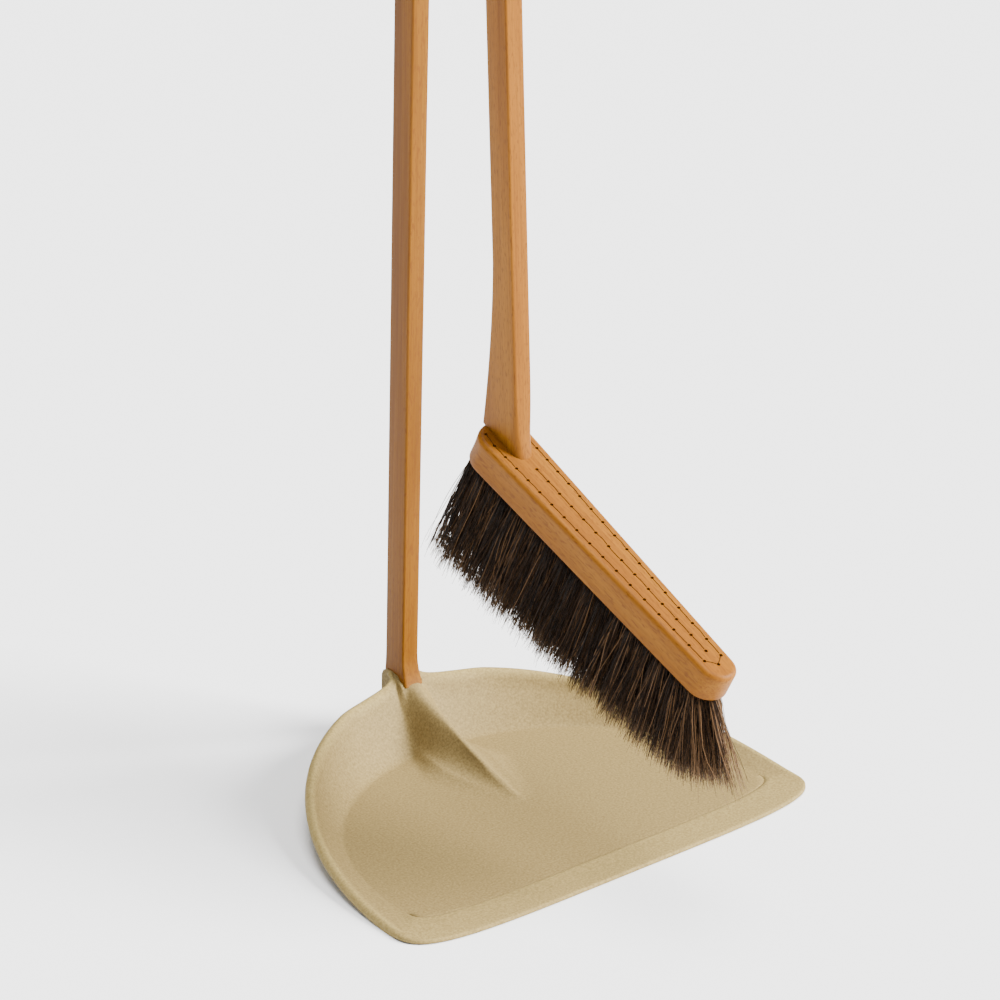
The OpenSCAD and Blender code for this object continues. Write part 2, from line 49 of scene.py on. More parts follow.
# ---------------------------------------------------------------- sizes, in millimetres
pan_lo, pan_hi = (np.array(corner) * 1000.0 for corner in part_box("pan_shell"))
FRONT_Y = pan_lo[1]
PAN_W, PAN_D = pan_hi[0] - pan_lo[0], 200.0
SHEET = 1.2
RIM_H = 36.0
LIP_W, LIP_H = 20.0, 0.9
# width in plan of the wall, at the sides and at the back
SIDE_W, BACK_W = 14.0, 29.0
RIDGE_L, RIDGE_W = 100.0, 11.5
# how far the rolled rim stands out from the wall
ROLL_R = 1.9
# section of both handles and the radius along its corners
STICK_W, STICK_D, CORNER_R = 10.8, 16.4, 1.3
HALF_D = STICK_D / 2
STICK_LEAN, BRUSH_LEAN = math.radians(3.0), math.radians(1.9)
STICK_TOP = 860.0
STICK_LEN = STICK_TOP / math.cos(STICK_LEAN)
# how far the middle of the pan handle's foot stands behind the pan
FOOT_BACK = 2.8
FOOT_Y = FRONT_Y + PAN_D + FOOT_BACK
SOCKET_H = 40.0
HOOK_BORE = 7.0
# the block: length, radius of its two round ends, thickness
BLOCK_L, HEEL_R, TIP_R, BLOCK_T = 201.0, 15.5, 10.0, 17.0
PITCH = math.radians(22.7)
# from the block's origin to its tip, and from its heel end to the handle
TIP_L, FOOT_IN = 14.2, 21.4
BLOCK_Z = 139.9
PIN_Z = 822.0
PIN_BORE = 5.1
SPACER_L, SPACER_D = 25.6, 10.4
SPOT_FACE = 1.4
GAP = 0.2
# height of the brush's handle above the middle of the pin
BRUSH_OVER = 20.0
HEEL_Y = BLOCK_L - TIP_L - HEEL_R
TIP_Y = TIP_R - TIP_L
# from the heel end to the last hole
HEEL_MARGIN = 8.6
HEEL_DOT_Y = HEEL_Y + HEEL_R - HEEL_MARGIN
OUTER_TUFTS, MIDDLE_TUFTS = 18, 14
# how much closer the holes stand towards the heel
CROWD = 0.134
TUFT_BORE = 4.6
HAIR_HEEL, HAIR_TIP = 66.0, 53.0

PIN_GAP = SPACER_L + STICK_D - SPOT_FACE + 2 * GAP
PIN_FROM_FRONT = PAN_D + FOOT_BACK - PIN_Z * math.tan(STICK_LEAN) - PIN_GAP * math.cos(BRUSH_LEAN)
PIN_Y = FRONT_Y + PIN_FROM_FRONT
HANDLE_BACK = (BLOCK_L - TIP_L - FOOT_IN) * math.cos(PITCH)
HANDLE_Z = BLOCK_Z + HANDLE_BACK * math.tan(PITCH)
HANDLE_Y = PIN_Y - (PIN_Z - HANDLE_Z) * math.tan(BRUSH_LEAN)
BLOCK_Y = HANDLE_Y - HANDLE_BACK
BRUSH_LEN = (PIN_Z + BRUSH_OVER - HANDLE_Z) / math.cos(BRUSH_LEAN)


def place(y, z, angle):
    """Millimetre frame turned about X by angle and moved to (0, y, z)."""
    return Matrix.Translation((0, y, z)) @ Matrix.Rotation(angle, 4, "X")


STICK = place(FOOT_Y, 0, STICK_LEAN)
BLOCK = place(BLOCK_Y, BLOCK_Z, PITCH)
BRUSH_STICK = place(HANDLE_Y, HANDLE_Z, -BRUSH_LEAN)
PIN = place(PIN_Y, PIN_Z, math.radians(90) - BRUSH_LEAN)


def to_metres(points, matrix=None):
    """Points in millimetres, carried by matrix where there is one, as metres."""
    p = np.asarray(points, dtype=np.float64)
    if matrix is not None:
        m = np.array(matrix)
        p = p @ m[:3, :3].T + m[:3, 3]
    return p * MM


def make_mesh(name, points, faces, matrix=None):
    """A smooth-shaded object from points in millimetres."""
    mesh = bpy.data.meshes.new(name)
    mesh.from_pydata([tuple(v) for v in to_metres(points, matrix)], [],
                     [tuple(int(i) for i in f) for f in faces])
    mesh.validate()
    mesh.polygons.foreach_set("use_smooth", [True] * len(mesh.polygons))
    mesh.update()
    obj = bpy.data.objects.new(name, mesh)
    bpy.context.scene.collection.objects.link(obj)
    return obj


# ---------------------------------------------------------------- pan sheet
# The pan is a grid. Its stations s run round one half: 0 the front's middle, 1 the front corner, 2 the widest
# place, 3 the back beside the socket, 4 the socket's front corner.
# Each station is a column from the rolled rim down the wall and over the floor to the middle line.
EDGE_BULGE, BACK_BULGE = 4.5, 2.2
WIDE_AT = 32.0
# the floor's widest place stands this far behind the rim's
FLOOR_SHIFT = 8.0
HALF_W = PAN_W / 2 - ROLL_R
FRONT_B = WIDE_AT - ROLL_R
BACK_B = PAN_D - WIDE_AT - ROLL_R
WIDE_Y = FRONT_Y + WIDE_AT
FLOOR_WIDE_Y = WIDE_Y + FLOOR_SHIFT
FLOOR_HALF_W = HALF_W - SIDE_W
FLOOR_FRONT_B = WIDE_AT + FLOOR_SHIFT - LIP_W
FLOOR_BACK_B = PAN_D - WIDE_AT - FLOOR_SHIFT - BACK_W - ROLL_R
# the socket's wall with the clearance inside it
SOCKET_WALL = 1.35
SOCKET_OUT_W = STICK_W + 2 * SOCKET_WALL
SOCKET_OUT_D = STICK_D + 2 * SOCKET_WALL
NECK_Y = FOOT_Y - RIM_H * math.tan(STICK_LEAN)
NECK_X = SOCKET_OUT_W / 2 - 0.15
NECK_FRONT_Y = NECK_Y - SOCKET_OUT_D / 2 - 0.6
VALLEY_Y = FLOOR_WIDE_Y + FLOOR_BACK_B
CREST_Z = RIM_H - 2
CREST_Y0 = NECK_FRONT_Y - RIDGE_L
# share of the half width at which a front corner's station stands
CORNER = 0.87
# station at which the floor's outline turns from the wall to the ridge
LOBE_S = 2.86
# height of the rim at the back, its power towards the front, and its rise beside the socket
RIM_BACK, RIM_POWER, NECK_RISE = 32.3, 1.75, 5.0
# share of the wall over which it turns up from the floor
WALL_TURN = 0.08
# the ridge, each as a pair for its low front part and for the neck: half width in base widths, how round its
# top is, how hollow its flanks are, its slope below the floor, and its fillet, at most and as a share of height
RIDGE_SPREAD, RIDGE_TOP, RIDGE_FALL = (1.3, 0.92), (1.0, 2.0), (1.9, 1.1)
RIDGE_BELOW, RIDGE_FILLET, RIDGE_FILLET_SHARE = (1.0, 1.8), (15.0, 20.0), (0.95, 0.9)
# height of the sheet round the socket, and the height over the floor at which it levels off
SOCKET_SEAT, NECK_LEVEL = 34.3, 33.0


def ease(v, a, b):
    """0 below a, 1 above b, smooth between them."""
    t = min(1.0, max(0.0, (v - a) / (b - a)))
    return t * t * (3 - 2 * t)


def mix(a, b, t):
    return a + (b - a) * t


def ring(s, a, fb, bb, yc):
    """A D-shaped outline in plan: half width a, depth fb to the front and bb to the back of yc."""
    if s <= 1:
        x = a * CORNER * s
        return np.array([x, yc - fb * (1 - (x / a) ** EDGE_BULGE) ** (1 / EDGE_BULGE)])
    if s <= 2:
        y1 = fb * (1 - CORNER ** EDGE_BULGE) ** (1 / EDGE_BULGE)
        y = y1 * (1 - (s - 1) ** 0.8)
        return np.array([a * max(0, 1 - min(1, abs(y) / fb) ** EDGE_BULGE) ** (1 / EDGE_BULGE), yc - y])
    q = math.radians(90 * (s - 2))
    return np.array([a * max(0, math.cos(q)), yc + bb * max(0, math.sin(q)) ** (2 / BACK_BULGE)])


def rim_xy(s):
    """The rim's outline, which turns in along the socket behind station 3."""
    if s <= 2:
        return ring(s, HALF_W, FRONT_B, BACK_B, WIDE_Y)
    if s <= 3:
        p = ring(2 + (s - 2) * 0.955, HALF_W, FRONT_B, BACK_B, WIDE_Y)
        inside = max(0, p[0] - NECK_X)
        return np.array([mix(p[0], NECK_X, ease(s, 2.8, 3)),
                         p[1] + 7 * math.exp(-inside / 7) * ease(s, 2.6, 3)])
    p = rim_xy(3)
    return np.array([NECK_X, mix(p[1], NECK_FRONT_Y + 0.6, s - 3)])


def rim_top(x, share):
    """Height of the rim over the floor at this share of the pan's depth, with a rise beside the socket."""
    rise = NECK_RISE * math.exp(-max(0, abs(x) - NECK_X) / 14) * ease(share, 0.9, 0.99)
    return RIM_BACK * min(1, max(0, share)) ** RIM_POWER + rise


def rim_z(s):
    x, y = rim_xy(min(s, 3))
    return SHEET + rim_top(x, (y - FRONT_Y) / PAN_D)


def valley(t):
    """The line between wall and ridge, up to the socket."""
    return np.array([mix(RIDGE_W + 1, NECK_X + 0.5, t), mix(VALLEY_Y - 1, NECK_FRONT_Y, t)])


def floor_xy(s):
    """The floor's outline, which leaves the wall for the valley at the lobe."""
    p = ring(min(s, 3), FLOOR_HALF_W, FLOOR_FRONT_B, FLOOR_BACK_B, FLOOR_WIDE_Y)
    if s <= 2:
        return p
    if s <= LOBE_S:
        k = ease(s, 2, LOBE_S)
        other = ring(2 + (s - 2) * 1.04, FLOOR_HALF_W, FLOOR_FRONT_B, FLOOR_BACK_B, FLOOR_WIDE_Y)
        return np.array([mix(p[0], other[0] + RIDGE_W * 0.35, k), p[1]])
    t = (s - LOBE_S) / (4 - LOBE_S)
    return mix(floor_xy(LOBE_S), valley(t), ease(t, 0, 0.35))


def line_y(s):
    """Where a column meets the middle line."""
    if s <= 1:
        return mix(FRONT_Y + LIP_W + 5, FRONT_Y + LIP_W + 12, s)
    if s <= 2:
        return mix(FRONT_Y + LIP_W + 12, FRONT_Y + 48, s - 1)
    return mix(FRONT_Y + 48, NECK_FRONT_Y, ((s - 2) / 2) ** 0.8)


def crest(y):
    """Height of the ridge's crest."""
    return SHEET + (CREST_Z - SHEET) * max(0, (y - CREST_Y0) / RIDGE_L) ** 1.2


def base_w(y):
    """Half width of the ridge's base."""
    return mix(3, RIDGE_W, ease(y, CREST_Y0 - 8, CREST_Y0 + 0.6 * RIDGE_L))


def base_xy(s):
    """Where a column meets the ridge's base."""
    y, t = line_y(s), max(0, (s - LOBE_S) / (4 - LOBE_S))
    v, k = valley(t), ease(s, LOBE_S - 0.3, LOBE_S + 0.2)
    return np.array([min(mix(base_w(y), v[0] - 0.8, k), floor_xy(s)[0] * 0.85),
                     mix(y - 2 * (1 - ease(s, 0, 0.6)), v[1] - 0.8, k)])


def rim_out(s):
    """Outward direction of the rim in plan."""
    d = rim_xy(min(4, s + 0.02)) - rim_xy(max(0, s - 0.02))
    n = np.array([d[1], -d[0]])
    return n / max(1e-9, np.linalg.norm(n))


def lip_shape(v):
    """Height of the lip over the slope: a rounded step beside the crease, then a fall to the edge."""
    return ease(v, -0.03, 0.15) * (1 - 0.95 * v) - 0.35 * ease(v, -0.05, 0.0) * (1 - ease(v, 0.0, 0.1))


ROLL_STEPS = [i / 10 for i in range(10)]
WALL_STEPS = [1, 0.97, 0.93, 0.88, 0.82, 0.75, 0.67, 0.59, 0.51, 0.43, 0.36, 0.29, 0.23, 0.18, 0.14, 0.11,
              0.085, 0.06, 0.04, 0.02, 0.008]
FLOOR_STEPS = [0, 0.03, 0.07, 0.12, 0.2, 0.3, 0.4, 0.5, 0.6, 0.7, 0.8, 0.88, 0.95]
FLANK_STEPS = [1, 0.97, 0.93, 0.88, 0.82, 0.76, 0.7, 0.64, 0.58, 0.52, 0.46, 0.4, 0.34, 0.28, 0.22, 0.16,
               0.11, 0.07, 0.035, 0]


def soft_max(a, b, k):
    """The larger of two heights, with a fillet of size k where they meet."""
    h = max(k - abs(a - b), 0.0) / k
    return max(a, b) + h * h * k / 4


def rise_from(v, e):
    """0 to 1 along the wall, starting level and turning up over the share e."""
    return (math.sqrt(v * v + e * e) - e) / (math.sqrt(1 + e * e) - e)


def wall_height(x, y):
    """Height of the bowl behind the pan's widest place, without the ridge."""
    n = BACK_BULGE
    rim = ((abs(x) / HALF_W) ** n + (max(0, y - WIDE_Y) / BACK_B) ** n) ** (1 / n)
    low = ((abs(x) / FLOOR_HALF_W) ** n + (max(0, y - FLOOR_WIDE_Y) / FLOOR_BACK_B) ** n) ** (1 / n)
    v = 0.0 if low <= 1 else min(1.0, (low - 1) / max(1e-6, (low - 1) + max(0, 1 - rim)))
    top = rim_top(x, (WIDE_Y + (y - WIDE_Y) / max(0.3, rim) - FRONT_Y) / PAN_D)
    foot = rise_from(v, WALL_TURN)
    return top * mix(foot, foot * (0.72 + 0.28 * v), ease(y, WIDE_Y, WIDE_Y + 60))


def ridge_height(x, y):
    """Height of the ridge, falling below the floor outside it, and the size of its fillet."""
    c = crest(y) - SHEET
    if c <= 0.02:
        return -5.0, 0.05
    k = ease(y, NECK_FRONT_Y - 55, NECK_FRONT_Y - 8)
    u = abs(x) / (mix(*RIDGE_SPREAD, k) * base_w(y) + 1.0)
    shape = (1 - u ** mix(*RIDGE_TOP, k)) ** mix(*RIDGE_FALL, k) if u < 1 else -(u - 1) * mix(*RIDGE_BELOW, k)
    return c * shape, min(mix(*RIDGE_FILLET, k), mix(*RIDGE_FILLET_SHARE, k) * c + 0.05)


def socket_height(x, y):
    """Height of the sheet where it climbs round the socket."""
    dx, dy = max(0, abs(x) - SOCKET_OUT_W / 2), max(0, NECK_FRONT_Y + 1.0 - y)
    return SOCKET_SEAT - SHEET - 2.1 * math.hypot(dx, dy) - 1.2 * dx


def inner_height(x, y):
    """Height of the pan's inside: wall, ridge and socket seat, levelled off at the neck."""
    ridge, fillet = ridge_height(x, y)
    z = soft_max(soft_max(wall_height(x, y), ridge, fillet), socket_height(x, y), 6.0)
    if y <= NECK_FRONT_Y - 25 or abs(x) >= 30:
        return SHEET + z
    limit = NECK_LEVEL + 0.9 * max(0, abs(x) - 5.4) + 0.35 * max(0, y - NECK_FRONT_Y)
    return SHEET - soft_max(-z, -limit, 1.5)


def sheet_column(s):
    """One column of the grid: x, y, z and at each point the share of painted light on rim, walls and lip."""
    o, oz, f, b, y = rim_xy(s), rim_z(s), floor_xy(s), base_xy(s), line_y(s)
    n = rim_out(s)
    side = ease(s, 1.25, 1.9)
    back = ease(s, 1.75, 2.15)
    bow = ease(s, 2.05, 2.95)
    neck = ease(s, 2.86, 3.0)
    roll_w = ROLL_R * mix(1, 0.35, ease(s, 2.75, 3))
    roll_drop = ROLL_R * mix(0.1, 1, ease(s, 1.2, 2)) * mix(1, 0.3, ease(s, 2.75, 3))
    lip = LIP_H * (1 - ease(s, 1.15, 1.8))
    oz = mix(oz, inner_height(o[0], o[1]), neck)
    turn = np.array([o[0] + 6 * (1 - min(1, max(0, s - 3))), (o[1] + y) / 2])

    def bowed(px, py, t):
        """Near the socket the column swings out round the socket's corner instead."""
        curve = (1 - t) ** 2 * o + 2 * t * (1 - t) * turn + t * t * np.array([0, y])
        return mix(px, curve[0], bow), mix(py, curve[1], bow)

    # edge holds painted light: a lighter coat on the rolled rim, the front wall and lip, and high on the side
    # walls
    out, edge = [], []
    for r in ROLL_STEPS:
        edge.append(mix(0.5, 1.0, side))
        q = math.radians(105) * (1 - r)
        out.append([o[0] + n[0] * roll_w * math.sin(q), o[1] + n[1] * roll_w * math.sin(q),
                    oz - roll_drop * (1 - math.cos(q))])
    for v in WALL_STEPS:
        edge.append(mix(0.5 * ease(v, 0.0, 0.12), ease(v, 0.86, 0.97), side) * (1 - neck))
        px, py = bowed(mix(f[0], o[0], v), mix(f[1], o[1], v), 0.5 * (1 - v))
        foot = rise_from(v, mix(0.02, WALL_TURN, ease(s, 1, 2)))
        flat = SHEET + (oz - SHEET) * foot + lip * lip_shape(v)
        out.append([px, py, mix(flat, mix(inner_height(px, py), oz, ease(v, 0.8, 1) * (1 - neck)), back)])
    for v in FLOOR_STEPS:
        px, py = bowed(mix(f[0], b[0], v), mix(f[1], b[1], v), 0.5 + 0.2 * v)
        out.append([px, py, inner_height(px, py) if s > 0.02 else SHEET])
    for u in FLANK_STEPS:
        px, py = bowed(b[0] * u, mix(y, b[1], u * u), 1 - 0.3 * u)
        out.append([px, py, inner_height(px, py)])
    edge += [0.0] * (len(out) - len(edge))
    return [p + [e] for p, e in zip(out, edge)]


def pan_sheet():
    """Points and faces of the whole sheet: the two halves share their middle line."""
    spans = [(0, 1, 26), (1, 2, 34), (2, 2.7, 60), (2.7, 3, 44), (3, 4, 24)]
    stations = [a + (b - a) * i / n for a, b, n in spans for i in range(n)] + [4.0]
    half = np.array([sheet_column(s) for s in stations])
    count, rows = half.shape[:2]
    left = half[::-1].copy()
    left[:, :, 0] *= -1
    grid = np.concatenate([left[:-1], half])
    cols, mid = len(grid), count - 1
    points, index = [], {}

    def key(j, r):
        return ("middle", abs(j - mid)) if r == rows - 1 else (j, r)

    for j in range(cols):
        for r in range(rows):
            if key(j, r) not in index:
                index[key(j, r)] = len(points)
                points.append(grid[j, r])
    faces = []
    for j in range(cols - 1):
        for r in range(rows - 1):
            quad = [index[key(*c)] for c in ((j, r), (j, r + 1), (j + 1, r + 1), (j + 1, r))]
            faces.append([v for i, v in enumerate(quad) if v != quad[i - 1]])
    return np.array(points), [f for f in faces if len(f) > 2]


pan_points, pan_faces = pan_sheet()
pan = make_mesh("pan_sheet", pan_points[:, :3], pan_faces)
# the points' share of painted light on rim, walls and lip, read by the coat's colour
layer = pan.data.attributes.new("edge", "FLOAT", "POINT")
layer.data.foreach_set("value", pan_points[:, 3].astype(np.float32))
solid = pan.modifiers.new("thickness", "SOLIDIFY")
solid.thickness = SHEET * MM
solid.offset = -1
solid.use_even_offset = False
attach(pan, "dustpan")
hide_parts("pan_shell")


# ---------------------------------------------------------------- lofted wood
def round_rect(x0, x1, y0, y1, front, back, steps=7):
    """Outline with its own radius for the front (low y) and back corners."""
    w = (x1 - x0) / 2 - 1e-4
    d = (y1 - y0) / 2 - 1e-4
    front, back = min(front, w, d), min(back, w, d)
    out = []
    for cx, cy, r, a0 in ((x1 - back, y1 - back, back, 0), (x0 + back, y1 - back, back, 90),
                          (x0 + front, y0 + front, front, 180), (x1 - front, y0 + front, front, 270)):
        for i in range(steps + 1):
            q = math.radians(a0 + 90 * i / steps)
            out.append([cx + r * math.cos(q), cy + r * math.sin(q)])
    return out


def loft(name, loops, matrix):
    """A closed object through loops of points, with flat ends."""
    n = len(loops[0])
    points = [p for loop in loops for p in loop]
    faces = [list(range(n))[::-1], [len(points) - n + i for i in range(n)]]
    for k in range(len(loops) - 1):
        for i in range(n):
            j = (i + 1) % n
            faces.append([k * n + i, k * n + j, (k + 1) * n + j, (k + 1) * n + i])
    return make_mesh(name, points, faces, matrix)


BORE_SIDES = 64


def drill(obj, name, radius, start, end, matrix):
    """Cuts a round bore from start to end, both in the frame of matrix."""
    a, b = Vector(start), Vector(end)
    turn = (b - a).normalized().to_track_quat("Z", "Y").to_matrix()
    spokes = [2 * math.pi * i / BORE_SIDES for i in range(BORE_SIDES)]
    circle = [turn @ Vector((radius * math.cos(q), radius * math.sin(q), 0)) for q in spokes]
    cutter = loft(name, [[tuple(a + p) for p in circle], [tuple(b + p) for p in circle]], matrix)
    cut = obj.modifiers.new(name, "BOOLEAN")
    cut.operation, cut.solver, cut.object = "DIFFERENCE", "EXACT", cutter
    return cutter


def bake(obj, cutters, angle=30, flat_above=1.0):
    """Applies the cuts and removes the cutters. Shades smooth below the angle, flat above that many metres."""
    graph = bpy.context.evaluated_depsgraph_get()
    mesh = bpy.data.meshes.new_from_object(obj.evaluated_get(graph))
    old = obj.data
    obj.modifiers.clear()
    obj.data = mesh
    mesh.name = obj.name
    bpy.data.meshes.remove(old)
    for c in cutters:
        bpy.data.objects.remove(c, do_unlink=True)
    mesh.set_sharp_from_angle(angle=math.radians(angle))
    mesh.polygons.foreach_set("use_smooth", [p.center.z < flat_above for p in mesh.polygons])


def top_loops(top):
    """Loops of a stick's end, rounded over from front to back."""
    out = []
    for i in range(1, 13):
        q = math.radians(90 * i / 12)
        d = HALF_D * math.cos(q)
        r = min(CORNER_R, max(0.05, d * 0.9))
        inset = CORNER_R * (1 - math.cos(q)) * 0.25
        outline = round_rect(-STICK_W / 2 + inset, STICK_W / 2 - inset, -max(d, 0.12), max(d, 0.12), r, r)
        out.append([[x, y, top - HALF_D + HALF_D * math.sin(q)] for x, y in outline])
    return out


# the pan's handle, with the small toe that laps over the socket's low front
TOE_Z = SOCKET_H - 5.2
TOE_LAP, TOE_SIDE, TOE_H = 4.2, 0.8, 18.0
levels = [4.2, 20, TOE_Z - 0.02]
levels += [TOE_Z + 0.02 + 24 * (i / 16) ** 1.6 for i in range(17)]
levels += [80, 140, 220, 320, 440, 560, 680, 780, 808, 815.5, 831]
levels += [STICK_LEN - HALF_D - 12, STICK_LEN - HALF_D]
loops = []
for z in levels:
    u = min(1.0, max(0.0, (z - TOE_Z) / TOE_H))
    toe = 0.0 if z < TOE_Z else TOE_LAP * (1 - u) ** 2
    side = 0.0 if z < TOE_Z else TOE_SIDE * (1 - u) ** 2
    outline = round_rect(-STICK_W / 2 - side, STICK_W / 2 + side, -HALF_D - toe, HALF_D,
                         CORNER_R + toe * 0.1, CORNER_R)
    loops.append([[x, y, z] for x, y in outline])
pan_handle = loft("pan_stick", loops + top_loops(STICK_LEN), STICK)
hook_z = STICK_LEN - HALF_D - 0.8
far, near = (0, 0, -PIN_GAP - STICK_D), (0, 0, -PIN_GAP + STICK_D)
cutters = [drill(pan_handle, "cut_hook", HOOK_BORE / 2, (-9, 0, hook_z), (9, 0, hook_z), STICK),
           drill(pan_handle, "cut_pin", PIN_BORE / 2, far, near, PIN),
           drill(pan_handle, "cut_face", SPACER_D / 2 + GAP, (0, 0, -SPACER_L - HALF_D - 2 * GAP), near, PIN)]
bake(pan_handle, cutters, flat_above=0.7)
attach(pan_handle, "dustpan")
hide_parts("pan_handle")

# the brush's handle, with a foot that flares back, bulges a little in front and sits on the block
SEAT_SLOPE = math.tan(PITCH + BRUSH_LEAN)
SEAT_GAP = 0.06
FLARE_TOP, FLARE_D = 98.0, 12.4
BULGE_TOP, BULGE_D = 14.0, 2.0
FOOT_ROUND_TOP, FOOT_ROUND = 40.0, 3.4
loops = []
for z in [FLARE_TOP * (i / 22) for i in range(23)]:
    u = max(0.0, 1 - z / FLARE_TOP)
    front = -HALF_D - BULGE_D * max(0.0, 1 - z / BULGE_TOP) ** 2
    front_r = CORNER_R + FOOT_ROUND * max(0.0, 1 - z / FOOT_ROUND_TOP) ** 2
    outline = round_rect(-STICK_W / 2, STICK_W / 2, front, HALF_D + FLARE_D * u ** 1.5,
                         front_r, CORNER_R + 1.2 * u ** 2)
    loops.append([[x, y, z + SEAT_GAP + y * SEAT_SLOPE * u] for x, y in outline])
for z in (150, 230, 330, 430, 530, BRUSH_LEN - HALF_D - 20, BRUSH_LEN - HALF_D):
    outline = round_rect(-STICK_W / 2, STICK_W / 2, -HALF_D, HALF_D, CORNER_R, CORNER_R)
    loops.append([[x, y, z] for x, y in outline])
brush_handle = loft("brush_stick", loops + top_loops(BRUSH_LEN), BRUSH_STICK)
far, near = (0, 0, -STICK_D), (0, 0, STICK_D)
bake(brush_handle, [drill(brush_handle, "cut_brush_pin", PIN_BORE / 2, far, near, PIN)])
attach(brush_handle, "brush")
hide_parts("brush_handle")


# ---------------------------------------------------------------- brush block
def block_ring(grow, z, steps=30):
    """The block's outline: round the heel, along one side, round the tip and back along the other."""
    lean = math.asin((HEEL_R - TIP_R) / (HEEL_Y - TIP_Y))
    heel, tip = (HEEL_R + grow, HEEL_Y), (TIP_R + grow, TIP_Y)

    def at(end, q):
        return [end[0] * math.cos(q), end[1] + end[0] * math.sin(q), z]

    out = []
    for end, other, q0, q1, side_q in ((heel, tip, -lean, math.pi + lean, math.pi + lean),
                                       (tip, heel, math.pi + lean, 2 * math.pi - lean, -lean)):
        out += [at(end, mix(q0, q1, i / steps)) for i in range(steps + 1)]
        a, b = np.array(at(end, side_q)), np.array(at(other, side_q))
        out += [list(a + (b - a) * k / 12) for k in range(1, 12)]
    return out


# radius of the top and bottom edges, how far the sides flare, and how far the tip stands back at the bottom
TOP_R, LOW_R, SIDE_FLARE, TIP_BACK = 3.0, 0.9, 1.1, 3.0
loops = []
for i in range(7):
    q = math.radians(90 * i / 6)
    loops.append(block_ring(SIDE_FLARE - LOW_R * (1 - math.sin(q)), -BLOCK_T + LOW_R * (1 - math.cos(q))))
for i in range(1, 6):
    t = i / 6
    loops.append(block_ring(SIDE_FLARE * (1 - t) ** 1.6, mix(-BLOCK_T + LOW_R, -TOP_R, t)))
for i in range(11):
    q = math.radians(90 * i / 10)
    loops.append(block_ring(-TOP_R * (1 - math.cos(q)), -TOP_R + TOP_R * math.sin(q)))
for loop in loops:
    for p in loop:
        if p[2] < 0:
            p[1] += TIP_BACK * min(1.0, -p[2] / BLOCK_T) ** 1.5 * (1 - ease(p[1], TIP_Y, TIP_Y + 30))
block = loft("block_body", loops, BLOCK)


def tuft_y(k):
    """Place of hole k along the block."""
    t = k / (OUTER_TUFTS - 1)
    return HEEL_DOT_Y * t * (1 + CROWD * (1 - t))


def outer_x(y):
    """Distance of an outer row's hole from the middle."""
    inset = TUFT_BORE / 2 + 1.6
    if y > HEEL_Y:
        return math.sqrt(max(0, (HEEL_R - inset) ** 2 - (y - HEEL_Y) ** 2))
    return min(TIP_R - 4.7 + 0.031 * y, HEEL_R - inset)


FIRST_MIDDLE, END_DOT = 5.3, -4.5
outer = [tuft_y(k) for k in range(OUTER_TUFTS)]
middle = [FIRST_MIDDLE + tuft_y(k) for k in range(MIDDLE_TUFTS)]
dots = {-1: [(-outer_x(y), y) for y in outer], 0: [(0.0, END_DOT)] + [(0.0, y) for y in middle],
        1: [(outer_x(y), y) for y in outer]}

# one cutter for all the wire holes: height and radius at its bottom and its top
HOLE_ENDS, HOLE_SIDES = ((-2.4, 0.9), (1.0, 0.98)), 14
cut_points, cut_faces = [], []
for x, y in dots[-1] + dots[0] + dots[1]:
    low = [len(cut_points) + i for i in range(HOLE_SIDES)]
    high = [i + HOLE_SIDES for i in low]
    for z, r in HOLE_ENDS:
        for i in range(HOLE_SIDES):
            q = 2 * math.pi * i / HOLE_SIDES
            cut_points.append([x + r * math.cos(q), y + r * math.sin(q), z])
    cut_faces += [low[::-1], high]
    for i in range(HOLE_SIDES):
        j = (i + 1) % HOLE_SIDES
        cut_faces.append([low[i], low[j], high[j], high[i]])

WIRE_R, WIRE_Z, WIRE_START, WIRE_SIDES, WIRE_STEPS = 0.17, 0.10, 0.35, 6, 13


def wire_mesh(name, spots):
    """Thin drawing wire, one stitch from each hole to the next, dipping into both."""
    points, faces = [], []
    for (x0, y0), (x1, y1) in zip(spots, spots[1:]):
        length = math.hypot(x1 - x0, y1 - y0)
        ux, uy = (x1 - x0) / length, (y1 - y0) / length
        bend = rng.normal() * 0.16
        base = len(points)
        for i in range(WIRE_STEPS):
            t = i / (WIRE_STEPS - 1)
            along = mix(WIRE_START, length - WIRE_START, t)
            edge = min(along, length - along)
            z = WIRE_Z if edge > 1.2 else WIRE_Z - 1.1 * (1 - (edge - WIRE_START) / 0.85) ** 2
            side = bend * math.sin(math.pi * t) + 0.07 * math.sin(3 * math.pi * t)
            cx, cy = x0 + ux * along - uy * side, y0 + uy * along + ux * side
            for k in range(WIRE_SIDES):
                q = 2 * math.pi * k / WIRE_SIDES
                points.append([cx - uy * WIRE_R * math.cos(q), cy + ux * WIRE_R * math.cos(q),
                               z + WIRE_R * math.sin(q)])
        for i in range(WIRE_STEPS - 1):
            a, b = base + i * WIRE_SIDES, base + (i + 1) * WIRE_SIDES
            for k in range(WIRE_SIDES):
                j = (k + 1) % WIRE_SIDES
                faces.append([a + k, a + j, b + j, b + k])
        faces.append([base + k for k in range(WIRE_SIDES)][::-1])
        faces.append([base + (WIRE_STEPS - 1) * WIRE_SIDES + k for k in range(WIRE_SIDES)])
    return make_mesh(name, points, faces, BLOCK)


wires = []
for row, node in ((-1, "wire_left"), (0, "wire_middle"), (1, "wire_right")):
    spots = dots[0][1:] if row == 0 else [dots[0][0]] + dots[row]
    piece = wire_mesh("stitch_" + node.split("_")[1], spots)
    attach(piece, "brush")
    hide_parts(node)
    wires.append(piece)
hole_cutter = make_mesh("cut_holes", cut_points, cut_faces, BLOCK)
cut = block.modifiers.new("holes", "BOOLEAN")
cut.operation, cut.solver, cut.object = "DIFFERENCE", "EXACT", hole_cutter
bake(block, [hole_cutter], 40)
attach(block, "brush")
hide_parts("brush_block")


